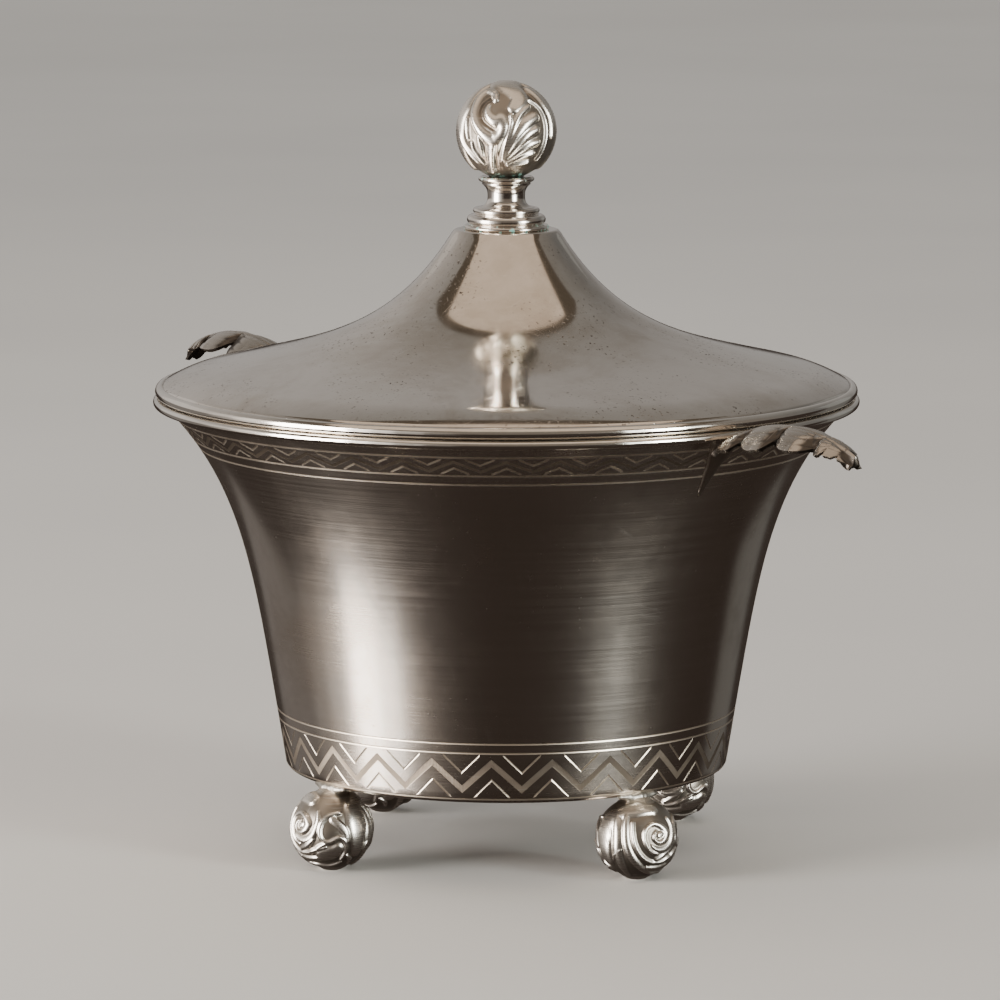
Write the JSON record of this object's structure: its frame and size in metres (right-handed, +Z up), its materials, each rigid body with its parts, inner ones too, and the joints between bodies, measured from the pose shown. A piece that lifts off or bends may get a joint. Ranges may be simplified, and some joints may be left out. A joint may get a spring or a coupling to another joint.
{
  "type": "lidded sugar bowl",
  "caption": "Round flared silver bowl on ball feet, with a lift-off pagoda lid, ball finial, leaf side handles and engraved zigzag bands.",
  "frame": {"origin": "on the bowl's axis, at the table under its feet", "axes": "+Z up along the bowl's axis; +X and -X along the two leaf handles; +Y level, across them"},
  "size_m": [0.2058, 0.138, 0.1509],
  "materials": {
    "bowl_silver": "polished silver with brown-grey tarnish and fine scratches",
    "lid_silver": "polished silver, slightly hazed, with dark specks",
    "moulding_silver": "bright polished silver",
    "leaf_silver": "cast and engraved silver, tarnished in its veins",
    "chased_silver": "chased silver, dark in its hollows and bright on its ridges",
    "turned_silver": "turned and polished silver",
    "solder": "dull silver solder",
    "inner_silver": "satin silver",
    "brass": "plain turned brass"
  },
  "bodies": {
    "bowl": {"bowl_shell": "bowl_silver", "rim_wire": "moulding_silver", "leaf_handle_east": "leaf_silver", "leaf_handle_west": "leaf_silver", "leaf_bracket_east": "leaf_silver", "leaf_bracket_west": "leaf_silver", "foot_ball_east": "chased_silver", "foot_ball_north": "chased_silver", "foot_ball_west": "chased_silver", "foot_ball_south": "chased_silver", "solder_pad_east": "solder", "solder_pad_north": "solder", "solder_pad_west": "solder", "solder_pad_south": "solder"},
    "lid": {"lid_shell": "lid_silver", "lid_edge_wire": "moulding_silver", "lid_bezel": "inner_silver", "finial_base": "turned_silver", "finial_stem": "turned_silver", "finial_ball": "chased_silver", "finial_stud": "brass", "finial_washer": "inner_silver", "finial_nut": "brass"}
  },
  "joints": [
    {"name": "lid_lift", "type": "slide", "parent": "bowl", "child": "lid", "axis": [0, 0, 1], "range_m": [0, 0.08]}
  ]
}
